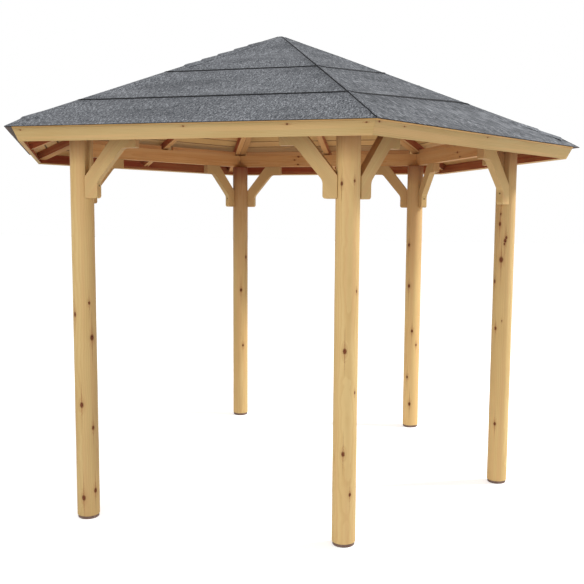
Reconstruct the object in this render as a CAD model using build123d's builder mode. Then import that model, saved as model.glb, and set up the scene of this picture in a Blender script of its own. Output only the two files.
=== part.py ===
from build123d import *
import os
from math import atan, cos, radians, sin, tan

# Six-sided open garden gazebo: round posts, knee braces, ring beam, boarded roof with felt.
# Millimetres, +Z up. The origin is on the ground at the centre of the post circle. +X points at
# one of the posts, so one side of the ring faces +Y and another faces -Y.

os.makedirs("parts", exist_ok=True)

# Plan of the hexagon
SIDES = 6
SIDE_ANGLE = 360 / SIDES
HALF_ANGLE = SIDE_ANGLE / 2
POST_CIRCLE_RADIUS = 1500
POST_NAMES = ["right", "back_right", "back_left", "left", "front_left", "front_right"]
SIDE_NAMES = ["back_right", "back", "back_left", "front_left", "front", "front_right"]
REACH = 2500

# Posts and the discs they stand on
POST_DIAMETER = 126
POST_FOOT_CHAMFER = 2
POST_HEAD_CHAMFER = 7
FOOT_DIAMETER = 118
FOOT_HEIGHT = 18
FOOT_CHAMFER = 4

# Ring beam: its inner face stands a little outside the line of the post centres
BEAM_THICKNESS = 45
BEAM_HEIGHT = 95
BEAM_BOTTOM = 2152
BEAM_SET_OUT = 7

# A chip out of the lower inner corners of the two lengths that meet over the back left post
CHIP_LENGTH = 45
CHIP_HEIGHT = 56
CHIP_DEPTH = 16
CHIP_ENDS = {"back": 1, "back_left": -1}

# Knee braces, measured along the side from the post's centre line
BRACE_FOOT_OUTER = 45
BRACE_FOOT_INNER = 121
BRACE_FOOT_BOTTOM = 1814
BRACE_BEND_HEIGHT = 1904
BRACE_SHOULDER_HEIGHT = 1930
BRACE_TAB_START = 222
BRACE_TAB_END = 352
BRACE_TAB_DROP = 70
BRACE_TAB_BEND = 271
BRACE_HEEL_ROUND = 9
BRACE_TOE_ROUND = 15
BRACE_BEND_ROUND = 50
BRACE_TAB_BEND_ROUND = 38
BRACE_TAB_CORNER_ROUND = 6

# Roof planes: the felt's slopes meet at the apex, and everything below hangs from them
APEX_HEIGHT = 2930
APEX_BLUNT = 13
ROOF_SLOPE = 24.407
FELT_THICKNESS = 3
FELT_EAVE = 1677
COURSE_EDGES = [776, 1273]
LAP_LENGTH = 240
HIP_FOLD_RISES = [(40, 1), (500, 8), (900, 11), (1820, 12.5), (1930, 1)]
HIP_FOLD_SPREAD = 6.5
DECK_THICKNESS = 16
FASCIA_TOP = 1640.7
FASCIA_HEIGHT = 74
FASCIA_THICKNESS = 20

# Rafters, all square to the slope, and the strips that close most of the gap over the ring beam.
# Each slope of the roof is a panel with a board down both of its hips and one down its middle.
RAFTER_DEPTH = 47
MID_WIDTH = 45
HIP_BOARD_WIDTH = 55
HIP_SEAM = 1.5
STRIP_HEIGHT = 29
STRIP_THICKNESS = 20
STRIP_START = 54.5
STRIP_END = 697

half_cos = cos(radians(HALF_ANGLE))
half_tan = tan(radians(HALF_ANGLE))
slope_sin = sin(radians(ROOF_SLOPE))
slope_cos = cos(radians(ROOF_SLOPE))
slope_tan = tan(radians(ROOF_SLOPE))
half_side = POST_CIRCLE_RADIUS * sin(radians(HALF_ANGLE))
beam_inner = POST_CIRCLE_RADIUS * half_cos + BEAM_SET_OUT
beam_outer = beam_inner + BEAM_THICKNESS
beam_top = BEAM_BOTTOM + BEAM_HEIGHT
deck_underside = FELT_THICKNESS + DECK_THICKNESS
hip_tan = slope_tan * half_cos
hip_cos = 1 / (1 + hip_tan**2) ** 0.5
hip_sin = hip_tan * hip_cos


def upright_plane(azimuth):
    """Upright plane through the centre line: x runs outward and y runs up."""
    turn = radians(azimuth)
    return Plane(
        origin=(0, 0, 0),
        x_dir=(cos(turn), sin(turn), 0),
        z_dir=(sin(turn), -cos(turn), 0),
    )


def side_plane(azimuth, distance):
    """Upright plane across one side: x runs along the side, y up, and its normal outward."""
    turn = radians(azimuth)
    return Plane(
        origin=(distance * cos(turn), distance * sin(turn), 0),
        x_dir=(-sin(turn), cos(turn), 0),
        z_dir=(cos(turn), sin(turn), 0),
    )


def level_plane(azimuth, height=0):
    """Level plane whose x axis points along the azimuth."""
    turn = radians(azimuth)
    return Plane(origin=(0, 0, height), x_dir=(cos(turn), sin(turn), 0), z_dir=(0, 0, 1))


def slope_plane(azimuth):
    """Plane of the deck's underside on one side: x runs down the slope and y along the side."""
    turn = radians(azimuth)
    return Plane(
        origin=(0, 0, roof_height(0, deck_underside)),
        x_dir=(slope_cos * cos(turn), slope_cos * sin(turn), -slope_sin),
        z_dir=(slope_sin * cos(turn), slope_sin * sin(turn), slope_cos),
    )


def hip_plane(azimuth, distance):
    """Plane square across a hip, its origin on the felt's hip line and its normal down the hip."""
    turn = radians(azimuth)
    return Plane(
        origin=(distance * cos(turn), distance * sin(turn), APEX_HEIGHT - distance * hip_tan),
        x_dir=(-sin(turn), cos(turn), 0),
        z_dir=(hip_cos * cos(turn), hip_cos * sin(turn), -hip_sin),
    )


def roof_height(outward, depth):
    """Height of a roof layer that lies depth below the felt, square to the slope."""
    return APEX_HEIGHT - depth / slope_cos - outward * slope_tan


def wedge(start=0):
    """Plan of one sixth of the ring, with its point at start from the centre."""
    half = (REACH - start) * half_tan
    return [(start, 0), (REACH, -half), (REACH, half)]


def under_slope(outward, along, depth):
    """A point on the slope's section: outward at the deck's underside, then down into the roof."""
    return (
        outward - along * slope_cos - depth * slope_sin,
        roof_height(outward, deck_underside) + along * slope_sin - depth * slope_cos,
    )


def save(part, name):
    """Names a piece and writes its file."""
    part.label = name
    export_step(part, f"parts/{name}.step")


# Foot discs, one under each post, with the lower edge eased
with BuildPart() as post_feet:
    with BuildSketch():
        with PolarLocations(POST_CIRCLE_RADIUS, SIDES):
            Circle(FOOT_DIAMETER / 2)
    extrude(amount=FOOT_HEIGHT)
    chamfer(post_feet.edges().group_by(Axis.Z)[0], FOOT_CHAMFER)
save(post_feet.part, "post_feet")

# Round posts, each rebated from the head down so that the feet of its two braces seat on a ledge
for index, name in enumerate(POST_NAMES):
    azimuth = SIDE_ANGLE * index
    with BuildPart() as post:
        with BuildSketch(level_plane(azimuth, FOOT_HEIGHT)):
            with Locations((POST_CIRCLE_RADIUS, 0)):
                Circle(POST_DIAMETER / 2)
        extrude(amount=BEAM_BOTTOM - FOOT_HEIGHT)
        chamfer(post.edges().group_by(Axis.Z)[0], POST_FOOT_CHAMFER)
        chamfer(post.edges().group_by(Axis.Z)[-1], POST_HEAD_CHAMFER)
        for direction in (-1, 1):
            rebate_start = direction * (half_side - BRACE_FOOT_OUTER)
            with BuildSketch(side_plane(azimuth - direction * HALF_ANGLE, beam_inner)):
                with Locations((rebate_start - direction * POST_DIAMETER / 2, BRACE_FOOT_BOTTOM)):
                    Rectangle(POST_DIAMETER, BEAM_BOTTOM, align=(Align.CENTER, Align.MIN))
            extrude(amount=POST_DIAMETER, mode=Mode.SUBTRACT)
    save(post.part, f"post_{name}")

# Ring beam, one length to a side, mitred over the posts
for index, name in enumerate(SIDE_NAMES):
    azimuth = SIDE_ANGLE * index + HALF_ANGLE
    with BuildPart() as beam:
        with BuildSketch(upright_plane(azimuth)):
            with Locations((beam_inner, BEAM_BOTTOM)):
                Rectangle(BEAM_THICKNESS, BEAM_HEIGHT, align=(Align.MIN, Align.MIN))
        extrude(amount=REACH, both=True)
        with BuildSketch(level_plane(azimuth)):
            Polygon(*wedge(), align=None)
        extrude(amount=APEX_HEIGHT, mode=Mode.INTERSECT)
        if name in CHIP_ENDS:
            end = CHIP_ENDS[name]
            corner = beam_inner * half_tan
            chip = [
                (end * (corner - CHIP_LENGTH), BEAM_BOTTOM),
                (end * (corner + CHIP_DEPTH), BEAM_BOTTOM),
                (end * (corner + CHIP_DEPTH), BEAM_BOTTOM + CHIP_HEIGHT),
                (end * corner, BEAM_BOTTOM + CHIP_HEIGHT),
            ]
            with BuildSketch(side_plane(azimuth, beam_inner)):
                Polygon(*chip, align=None)
            extrude(amount=CHIP_DEPTH, mode=Mode.SUBTRACT)
    save(beam.part, f"ring_beam_{name}")

# Knee braces, a pair to a side: foot in the post's rebate, long tab flat under the beam
brace_outline = [
    (BRACE_FOOT_OUTER, BRACE_FOOT_BOTTOM),
    (BRACE_FOOT_OUTER, BRACE_SHOULDER_HEIGHT),
    (BRACE_TAB_START, BEAM_BOTTOM),
    (BRACE_TAB_END, BEAM_BOTTOM),
    (BRACE_TAB_END, BEAM_BOTTOM - BRACE_TAB_DROP),
    (BRACE_TAB_BEND, BEAM_BOTTOM - BRACE_TAB_DROP),
    (BRACE_FOOT_INNER, BRACE_BEND_HEIGHT),
    (BRACE_FOOT_INNER, BRACE_FOOT_BOTTOM),
]
brace_rounds = [
    BRACE_HEEL_ROUND,
    0,
    0,
    0,
    BRACE_TAB_CORNER_ROUND,
    BRACE_TAB_BEND_ROUND,
    BRACE_BEND_ROUND,
    BRACE_TOE_ROUND,
]
for index, name in enumerate(SIDE_NAMES):
    azimuth = SIDE_ANGLE * index + HALF_ANGLE
    with BuildPart() as braces:
        for direction in (-1, 1):
            outline = [(direction * (half_side - along), height) for along, height in brace_outline]
            with BuildSketch(side_plane(azimuth, beam_inner)):
                with BuildLine():
                    FilletPolyline(*outline, radius=brace_rounds, close=True)
                make_face()
            extrude(amount=BEAM_THICKNESS)
    save(braces.part, f"braces_{name}")

# Outer outline of the ring beam, which the rafters are notched over
ring_radius = beam_outer / half_cos
ring_turns = [radians(SIDE_ANGLE * index) for index in range(SIDES)]
ring_outline = [(ring_radius * cos(turn), ring_radius * sin(turn)) for turn in ring_turns]

# On the slope's own plane: the angle between a hip and the middle, and where the rafters end
slope_hip_angle = atan(half_tan * slope_cos)
rafter_end = FASCIA_TOP / slope_cos - FASCIA_THICKNESS
crotch = HIP_BOARD_WIDTH / sin(slope_hip_angle)

# Hip boards of one slope, a left and a right hand: the outer face is bevelled to the upright plane
# of the hip, the head is cut to the middle of the slope, and the underside is notched at the beam
hip_boards = []
for direction in (-1, 1):
    hip_edge = rafter_end * tan(slope_hip_angle)
    inner_edge = hip_edge - HIP_BOARD_WIDTH / cos(slope_hip_angle)
    board_outline = [
        (0, 0),
        (rafter_end, direction * hip_edge),
        (rafter_end, direction * inner_edge),
        (crotch, 0),
    ]
    with BuildPart() as hip_board:
        with BuildSketch(slope_plane(HALF_ANGLE)):
            Polygon(*board_outline, align=None)
        extrude(amount=-RAFTER_DEPTH)
        with BuildSketch(level_plane(HALF_ANGLE)):
            Polygon(*wedge(HIP_SEAM), align=None)
        extrude(amount=APEX_HEIGHT, mode=Mode.INTERSECT)
        with BuildSketch(Plane.XY.offset(BEAM_BOTTOM)):
            Polygon(*ring_outline, align=None)
        extrude(amount=BEAM_HEIGHT, mode=Mode.SUBTRACT)
    hip_boards.append(hip_board.part)

# Hip rafters: the boards of two neighbouring slopes side by side, with an open seam between them
for index, name in enumerate(POST_NAMES):
    with BuildPart() as hip_rafter:
        add(hip_boards[0], rotation=(0, 0, SIDE_ANGLE * index))
        add(hip_boards[1], rotation=(0, 0, SIDE_ANGLE * (index - 1)))
    save(hip_rafter.part, f"hip_rafter_{name}")

# Middle rafters, one to a slope, with a pointed head that fits between the two hip boards
shoulder = crotch + MID_WIDTH / 2 / tan(slope_hip_angle)
mid_outline = [
    (crotch, 0),
    (shoulder, MID_WIDTH / 2),
    (rafter_end, MID_WIDTH / 2),
    (rafter_end, -MID_WIDTH / 2),
    (shoulder, -MID_WIDTH / 2),
]
with BuildPart() as mid_rafters:
    for index in range(SIDES):
        with BuildSketch(slope_plane(SIDE_ANGLE * index + HALF_ANGLE)):
            Polygon(*mid_outline, align=None)
        extrude(amount=-RAFTER_DEPTH)
    with BuildSketch(Plane.XY.offset(BEAM_BOTTOM)):
        Polygon(*ring_outline, align=None)
    extrude(amount=BEAM_HEIGHT, mode=Mode.SUBTRACT)
save(mid_rafters.part, "mid_rafters")

# Closing strips on the ring beam, cut short of the rafters
with BuildPart() as eaves_strips:
    for index in range(SIDES):
        with BuildSketch(level_plane(SIDE_ANGLE * index + HALF_ANGLE, beam_top)):
            for direction in (-1, 1):
                strip_middle = direction * (STRIP_START + STRIP_END) / 2
                with Locations((beam_inner + STRIP_THICKNESS / 2, strip_middle)):
                    Rectangle(STRIP_THICKNESS, STRIP_END - STRIP_START)
        extrude(amount=STRIP_HEIGHT)
save(eaves_strips.part, "eaves_strips")

# Fascia boards, square to the slope and mitred at the corners
fascia_section = [
    under_slope(FASCIA_TOP, 0, 0),
    under_slope(FASCIA_TOP, FASCIA_THICKNESS, 0),
    under_slope(FASCIA_TOP, FASCIA_THICKNESS, FASCIA_HEIGHT),
    under_slope(FASCIA_TOP, 0, FASCIA_HEIGHT),
]

# Roof deck: a boarded slope on each side, cut square at the eave and mitred at the hips
blunt_deck = roof_height(APEX_BLUNT, FELT_THICKNESS)
deck_section = [
    (0, roof_height(0, deck_underside)),
    (0, blunt_deck),
    (APEX_BLUNT, blunt_deck),
    under_slope(FASCIA_TOP, 0, -DECK_THICKNESS),
    under_slope(FASCIA_TOP, 0, 0),
]

# Felt: three courses to a side, each lying over the one below and ending in a step
felt_section = [
    (FELT_EAVE - FELT_THICKNESS * slope_sin, roof_height(FELT_EAVE, 0) - FELT_THICKNESS * slope_cos),
    (APEX_BLUNT, blunt_deck),
    (0, blunt_deck),
    (0, roof_height(APEX_BLUNT, 0)),
    (APEX_BLUNT, roof_height(APEX_BLUNT, 0)),
]
for edge in COURSE_EDGES:
    lap_top = roof_height(edge, -FELT_THICKNESS)
    lap_foot = (edge - FELT_THICKNESS * slope_sin, lap_top - FELT_THICKNESS * slope_cos)
    felt_section += [
        (edge - LAP_LENGTH, roof_height(edge - LAP_LENGTH, 0)),
        (edge, lap_top),
        lap_foot,
    ]
felt_section += [(FELT_EAVE, roof_height(FELT_EAVE, 0))]

# Felt folded over a hip: a low ridge that grows on its way down and ends at the corner, as one span
# between each two of its sections across the hip. Half of it lies on each of the two slopes.
def fold_section(rise):
    """Section of the fold across a hip: from slope to slope over the hip line."""
    spread = rise * HIP_FOLD_SPREAD
    foot = -spread * slope_tan * sin(radians(HALF_ANGLE)) * hip_cos
    return [(-spread, foot), (0, rise), (spread, foot), (0, -FELT_THICKNESS / 2)]


roof_layers = [("fascia", fascia_section), ("roof_deck", deck_section), ("roof_felt", felt_section)]
for layer_name, section in roof_layers:
    for index, name in enumerate(SIDE_NAMES):
        azimuth = SIDE_ANGLE * index + HALF_ANGLE
        with BuildPart() as layer:
            with BuildSketch(upright_plane(azimuth)):
                Polygon(*section, align=None)
            extrude(amount=REACH, both=True)
            if layer_name == "roof_felt":
                for turn in (-HALF_ANGLE, HALF_ANGLE):
                    for span in zip(HIP_FOLD_RISES, HIP_FOLD_RISES[1:]):
                        for distance, rise in span:
                            with BuildSketch(hip_plane(azimuth + turn, distance)):
                                Polygon(*fold_section(rise), align=None)
                        loft(ruled=True)
            with BuildSketch(level_plane(azimuth)):
                Polygon(*wedge(), align=None)
            extrude(amount=APEX_HEIGHT, mode=Mode.INTERSECT)
        save(layer.part, f"{layer_name}_{name}")
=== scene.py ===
from math import acos, asin, atan2, cos, pi, radians, sin, tan
from random import Random

import bmesh
import bpy
from mathutils import Matrix, Vector


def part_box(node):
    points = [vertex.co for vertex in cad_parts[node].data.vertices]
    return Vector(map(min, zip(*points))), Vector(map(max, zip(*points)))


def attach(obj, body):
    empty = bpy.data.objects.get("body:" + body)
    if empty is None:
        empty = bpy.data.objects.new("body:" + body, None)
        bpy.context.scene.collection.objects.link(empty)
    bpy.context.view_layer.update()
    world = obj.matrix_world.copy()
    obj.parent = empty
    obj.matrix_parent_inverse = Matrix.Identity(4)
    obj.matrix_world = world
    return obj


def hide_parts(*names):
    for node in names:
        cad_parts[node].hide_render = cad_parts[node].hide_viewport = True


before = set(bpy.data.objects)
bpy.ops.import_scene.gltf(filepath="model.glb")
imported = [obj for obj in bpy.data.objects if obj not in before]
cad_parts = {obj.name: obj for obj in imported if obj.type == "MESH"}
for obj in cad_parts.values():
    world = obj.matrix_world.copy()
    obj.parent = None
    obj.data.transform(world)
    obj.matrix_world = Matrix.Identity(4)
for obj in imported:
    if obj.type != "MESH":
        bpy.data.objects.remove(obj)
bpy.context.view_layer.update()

# Foot pads. Six dull brown moulded pads keep the end grain of the posts off the ground. They lie
# loose under the posts, a little smaller than them. The frame's own meshes are the right shape.
PAD_COLOUR = (0.165, 0.098, 0.076)
PAD_DUST = (0.290, 0.215, 0.175)
PAD_GRAIN = 0.0004
PLAIN_SHINE = 0.35


class Finish:
    """A material under construction: each call adds a node and returns the socket it gives."""

    def __init__(self, name):
        self.material = bpy.data.materials.new(name)
        self.material.use_nodes = True
        self.tree = self.material.node_tree
        self.shader = self.tree.nodes["Principled BSDF"]
        self.shader.inputs["Specular IOR Level"].default_value = PLAIN_SHINE

    def set(self, socket, value):
        if isinstance(value, bpy.types.NodeSocket):
            self.tree.links.new(value, socket)
        else:
            socket.default_value = value

    def node(self, kind, inputs=(), output=0, **settings):
        made = self.tree.nodes.new(kind)
        for name, value in settings.items():
            setattr(made, name, value)
        for name, value in dict(inputs).items():
            self.set(made.inputs[name], value)
        return made.outputs[output]

    def place(self):
        return self.node("ShaderNodeTexCoord", output=3)

    def attribute(self, name, output=2):
        return self.node("ShaderNodeAttribute", output=output, attribute_name=name)

    def maths(self, operation, a, b=0.0, c=0.0, clamp=False):
        inputs = {0: a, 1: b, 2: c}
        return self.node("ShaderNodeMath", inputs, operation=operation, use_clamp=clamp)

    def vector(self, operation, a, b=(0, 0, 0), c=(0, 0, 0), output=0):
        return self.node("ShaderNodeVectorMath", {0: a, 1: b, 2: c}, output, operation=operation)

    def length(self, a, stretch=(1, 1, 1)):
        return self.vector("LENGTH", self.vector("MULTIPLY", a, stretch), output=1)

    def part(self, vector, axis):
        return self.node("ShaderNodeSeparateXYZ", {0: vector}, output=axis)

    def noise(self, at, scale, detail=2.0, roughness=0.5, output=0):
        """Cloudy noise, of one scale or of a scale for each direction."""
        if isinstance(scale, tuple):
            at = self.vector("MULTIPLY", at, scale)
            scale = 1.0
        inputs = {"Vector": at, "Scale": scale, "Detail": detail, "Roughness": roughness}
        return self.node("ShaderNodeTexNoise", inputs, output)

    def ramp(self, value, low, high, out_low=0.0, out_high=1.0, smooth=True):
        kind = "SMOOTHSTEP" if smooth else "LINEAR"
        inputs = {0: value, 1: low, 2: high, 3: out_low, 4: out_high}
        return self.node("ShaderNodeMapRange", inputs, interpolation_type=kind)

    def mix(self, share, first, second, blend="MIX"):
        made = self.tree.nodes.new("ShaderNodeMix")
        made.data_type = "RGBA"
        made.blend_type = blend
        self.set(made.inputs[0], share)
        for socket, colour in ((made.inputs[6], first), (made.inputs[7], second)):
            self.set(socket, (*colour, 1) if isinstance(colour, tuple) else colour)
        return made.outputs[2]

    def toned(self, colour, depth):
        """A colour made lighter or darker by the tone that the mesh carries."""
        level = self.maths("MULTIPLY_ADD", self.attribute("tone"), depth, 1.0)
        level = self.node("ShaderNodeCombineXYZ", {0: level, 1: level, 2: level})
        return self.mix(1.0, colour, level, "MULTIPLY")

    def bump(self, height, depth, below=None):
        inputs = {"Height": height, "Distance": depth, "Strength": 1.0}
        if below is not None:
            inputs["Normal"] = below
        return self.node("ShaderNodeBump", inputs)

    def done(self, colour, roughness, normal=None):
        self.set(self.shader.inputs["Base Color"], colour)
        self.set(self.shader.inputs["Roughness"], roughness)
        if normal is not None:
            self.set(self.shader.inputs["Normal"], normal)
        return self.material


def pad_finish():
    finish = Finish("moulded_pad")
    at = finish.place()
    dust = finish.ramp(finish.noise(at, 60, 5), 0.40, 0.75)
    grains = finish.noise(at, 900, 2)
    colour = finish.mix(dust, PAD_COLOUR, PAD_DUST)
    return finish.done(colour, finish.ramp(dust, 0, 1, 0.6, 0.9), finish.bump(grains, PAD_GRAIN))


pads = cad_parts["post_feet"]
pads.data.materials.clear()
pads.data.materials.append(pad_finish())

# Posts. Six round softwood posts, turned smooth from the log with the pith near the middle, so
# that they have split a little in drying. Each is rebated at the head for the feet of two braces.
SIDES = 6
SIDE_TURN = 2 * pi / SIDES
POST_NAMES = ["right", "back_right", "back_left", "left", "front_left", "front_right"]
post_low, post_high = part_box("post_right")
POST_RADIUS = (post_high.y - post_low.y) / 2
POST_CIRCLE = (post_high.x + post_low.x) / 2
POST_REBATE_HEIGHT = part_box("braces_front")[0].z
HEAD_CHAMFER = 0.007
FOOT_CHAMFER = 0.002
REBATE_ALONG = 0.045
REBATE_OUT = 0.007
RING_GAP = 0.02
RING_DEGREES = 5
POST_SHARP_ANGLE = radians(28)
OUT_OF_ROUND = 0.0004
TURNING_WAVE = 0.0003

# Beside each split the post is modelled afresh, and a split is this many times deeper than half wide
SPLIT_HALF_DEGREES = 4
SPLIT_CLEAR = 0.01
SPLIT_CLOSED = 0.00015
SPLIT_DEPTH = 3.2

# Where the pith lies in a post, and how far along one long timber each next post is cut from it
POST_PITH = (0.006, -0.004)
POST_STEP = 3.7

# How pale each post is at its foot and head, partly its own tone and partly painted shade from the
# roof, and how red its upper half is and how much darker and redder its head, painted shade under the
# roof
POST_TONES = [(0.5, -0.7), (1.3, -0.7), (0.7, -1.1), (0.6, -0.8), (-0.7, 0.1), (0.2, 0.2)]
POST_UPPER_SHADE_REDS = [0.12, 0.32, 0.50, 0.34, 0.0, 0.0]
POST_HEAD_SHADE_RED = 0.45
POST_HEAD_SHADE = 1.4
POST_HEAD_SHARE = 0.925
TIMBER_SHINE = 0.18
TONE_DEPTH = 0.16
GRAIN_DEPTH = 0.0006
EARLY_WOOD = (0.660, 0.475, 0.212)
LATE_WOOD = (0.550, 0.350, 0.138)
WARM_STREAK = (0.620, 0.385, 0.172)
HEARTWOOD_AND_SHADE_RED = (0.310, 0.058, 0.032)
GAP_SHADE = (0.060, 0.018, 0.010)
KNOT_HALO = (0.420, 0.215, 0.080)
KNOT_RIM = (0.250, 0.080, 0.025)
KNOT_HEART = (0.075, 0.014, 0.007)

# How ragged a knot's outline is and how far the pith drifts, in metres. Wild knots lie at about so
# many to the metre along and across the timber, between two radii.
KNOT_RAGGED = (0.009, 0.006, 0.006)
PITH_DRIFT = 0.040
WILD_SPREAD = (2.4, 9.0, 9.0)
WILD_SMALLEST = 0.005
WILD_LARGEST = 0.010

# The knots that show on each post: height in metres, bearing in degrees from outward, radius
POST_KNOTS = {
    "front_left": [(1.173, 3, 0.011), (1.043, 96, 0.013), (1.238, 83, 0.007), (0.664, 35, 0.012),
                   (0.530, 92, 0.009), (0.128, 36, 0.012), (0.164, 99, 0.011), (1.62, 160, 0.009)],
    "front_right": [(1.889, -48, 0.008), (1.903, 14, 0.006), (1.348, 36, 0.006), (1.042, -23, 0.011),
                    (0.823, 33, 0.006), (0.504, -25, 0.010), (0.287, 11, 0.008), (1.65, 150, 0.009)],
    "right": [(1.820, -112, 0.006), (1.755, -114, 0.006), (1.692, -118, 0.010), (1.606, -78, 0.008),
              (1.587, -84, 0.010), (1.566, -88, 0.006), (1.466, -103, 0.014), (1.325, -146, 0.010),
              (1.075, -88, 0.004), (1.024, -126, 0.009), (0.40, -110, 0.009)],
    "back_right": [(1.512, 179, 0.011), (1.178, -174, 0.012), (0.809, -143, 0.010),
                   (0.693, -109, 0.008), (0.424, -174, 0.009), (0.20, -151, 0.011)],
    "back_left": [(1.385, -142, 0.011), (1.102, 174, 0.011), (0.62, -170, 0.009), (0.95, 20, 0.010)],
    "left": [(1.52, 70, 0.010), (0.93, 120, 0.010), (0.41, 60, 0.009), (1.18, -40, 0.010)],
}

# Drying splits: bearing and lean in degrees, then the lowest and highest point and width of each
POST_SPLITS = {
    "front_left": [(-110, 6, [(0.06, 0.95, 0.0022)]), (150, -5, [(1.20, 2.05, 0.0020)])],
    "front_right": [(-50, 2, [(0.02, 0.09, 0.0020), (1.80, 1.89, 0.0022)]),
                    (-74, 0, [(0.435, 0.510, 0.0040)]), (120, 7, [(0.70, 1.60, 0.0022)])],
    "right": [(-140, 8, [(1.20, 1.86, 0.0030)]), (30, -6, [(0.10, 0.90, 0.0020)])],
    "back_right": [(160, 5, [(0.30, 1.25, 0.0022)]), (-60, -4, [(1.05, 1.75, 0.0020)])],
    "back_left": [(-150, 5, [(0.55, 1.60, 0.0020)])],
    "left": [(30, -6, [(0.20, 1.30, 0.0025)])],
}


def knot_marks(finish, offset):
    """Heart, streak and halo of one knot, from the offset to its middle counted in knot radii."""
    heart = finish.ramp(finish.length(offset, (0.62, 0.92, 0.92)), 0.50, 1.15, 1, 0)
    streak = finish.ramp(finish.length(offset, (0.07, 3.0, 3.0)), 0.0, 1.0, 1, 0, smooth=False)
    halo = finish.ramp(finish.length(offset, (0.28, 0.70, 0.70)), 0.3, 1.7, 1, 0)
    return heart, streak, halo


def timber_finish(name, early=EARLY_WOOD, late=LATE_WOOD, knots=(), wild_knots=0.0, ring=0.0042,
                  contrast=1.0):
    """Planed softwood: year rings round a wandering pith, fibres, streaks, knots, and a red that is
    partly heartwood and mostly painted shade.

    The mesh carries the timber's own frame: along the grain, then two distances from the pith."""
    finish = Finish(name)
    finish.shader.inputs["Specular IOR Level"].default_value = TIMBER_SHINE
    at = finish.attribute("grain", 1)
    wander = finish.vector("SUBTRACT", finish.noise(at, 190, 2, 0.6, output=1), (0.5, 0.5, 0.5))
    ragged = finish.vector("MULTIPLY_ADD", wander, KNOT_RAGGED, at)

    # Knots: those with a place of their own, and wild ones, a few to each metre of timber
    marks = []
    for centre, radius in knots:
        inverse = (1 / radius, 1 / radius, 1 / radius)
        shift = tuple(-number / radius for number in centre)
        marks.append(knot_marks(finish, finish.vector("MULTIPLY_ADD", ragged, inverse, shift)))
    if wild_knots:
        cells = finish.tree.nodes.new("ShaderNodeTexVoronoi")
        finish.set(cells.inputs["Vector"], finish.vector("MULTIPLY", at, WILD_SPREAD))
        finish.set(cells.inputs["Scale"], 1.0)
        nearest = finish.vector("DIVIDE", cells.outputs["Position"], WILD_SPREAD)
        chance = finish.part(cells.outputs["Color"], 0)
        there = finish.maths("LESS_THAN", chance, wild_knots)
        inverse = finish.ramp(chance, 0, wild_knots, 1 / WILD_SMALLEST, 1 / WILD_LARGEST, smooth=False)
        offset = finish.vector("SUBTRACT", ragged, nearest)
        offset = finish.node("ShaderNodeVectorMath", {0: offset, 3: inverse}, operation="SCALE")
        marks.append([finish.maths("MULTIPLY", there, mark) for mark in knot_marks(finish, offset)])
    heart, streak, halo = (0.0, 0.0, 0.0)
    for mark in marks:
        heart = finish.maths("MAXIMUM", heart, mark[0])
        streak = finish.maths("MAXIMUM", streak, mark[1])
        halo = finish.maths("MAXIMUM", halo, mark[2])

    # Year rings: the distance from the pith, which wanders along the timber and parts round knots
    drifting = finish.noise(at, (0.9, 2.5, 2.5))
    across = finish.maths("MULTIPLY_ADD", drifting, PITH_DRIFT, finish.part(at, 1))
    depth = finish.part(at, 2)
    squares = finish.maths("MULTIPLY_ADD", across, across, finish.maths("MULTIPLY", depth, depth))
    turns = finish.maths("DIVIDE", finish.maths("SQRT", squares), ring)
    turns = finish.maths("MULTIPLY_ADD", halo, 1.6, turns)
    turns = finish.maths("MULTIPLY_ADD", finish.noise(at, 14, 2), 0.9, turns)
    phase = finish.maths("FRACT", turns)
    year_end = finish.ramp(phase, 0.92, 1.0, 1, 0)
    late_share = finish.maths("MULTIPLY", finish.ramp(phase, 0.25, 0.9), year_end)

    # Colours: early and late wood, fibres and clouds, pale red streaks, a red that is heartwood on the
    # roof boards and painted shade elsewhere, the tone, then the knots
    fibres = finish.noise(at, (6, 420, 420), 3, 0.6)
    streaks = finish.noise(at, (0.8, 34, 34), 3)
    clouds = finish.noise(at, (1.6, 7, 7))
    share = finish.maths("MULTIPLY", late_share, 0.36 * contrast)
    share = finish.maths("MULTIPLY_ADD", finish.ramp(fibres, 0.35, 0.75), 0.16, share)
    share = finish.maths("MULTIPLY_ADD", finish.ramp(clouds, 0.35, 0.7), 0.38, share, clamp=True)
    colour = finish.mix(share, early, late)
    colour = finish.mix(finish.ramp(streaks, 0.46, 0.62, 0, 0.55), colour, WARM_STREAK)
    # The heart attribute gives each roof board its own red, and elsewhere a painted red shade on faces
    # under the roof
    patchy = finish.ramp(streaks, 0.35, 0.65, 1.0, 0.72)
    colour = finish.mix(finish.maths("MULTIPLY", finish.attribute("heart"), patchy), colour, HEARTWOOD_AND_SHADE_RED)
    colour = finish.toned(colour, TONE_DEPTH)
    colour = finish.mix(finish.maths("MULTIPLY", halo, 0.42), colour, KNOT_HALO)
    colour = finish.mix(finish.maths("MULTIPLY", streak, 0.85), colour, KNOT_RIM)
    knot = finish.mix(finish.ramp(finish.noise(at, 420, 2), 0.38, 0.66), KNOT_HEART, KNOT_RIM)
    colour = finish.mix(heart, colour, knot)
    # Painted shade in the grooves between the roof boards, from the gap attribute
    colour = finish.mix(finish.attribute("gap"), colour, GAP_SHADE)

    rough = finish.ramp(fibres, 0.3, 0.7, 0.52, 0.68)
    relief = finish.maths("MULTIPLY_ADD", late_share, 0.5, fibres)
    relief = finish.maths("MULTIPLY_ADD", heart, 0.6, relief)
    return finish.done(colour, rough, finish.bump(relief, GRAIN_DEPTH))


def carry(piece, name, values, domain="POINT"):
    """Writes one number for each point or face corner into the mesh."""
    attribute = piece.data.attributes.new(name, "FLOAT", domain)
    attribute.data.foreach_set("value", values)


def carry_grain(piece, points, tones):
    """Writes the timber's own frame and its tone into the mesh."""
    grain = piece.data.attributes.new("grain", "FLOAT_VECTOR", "POINT")
    grain.data.foreach_set("vector", [number for point in points for number in point])
    carry(piece, "tone", tones)


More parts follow.
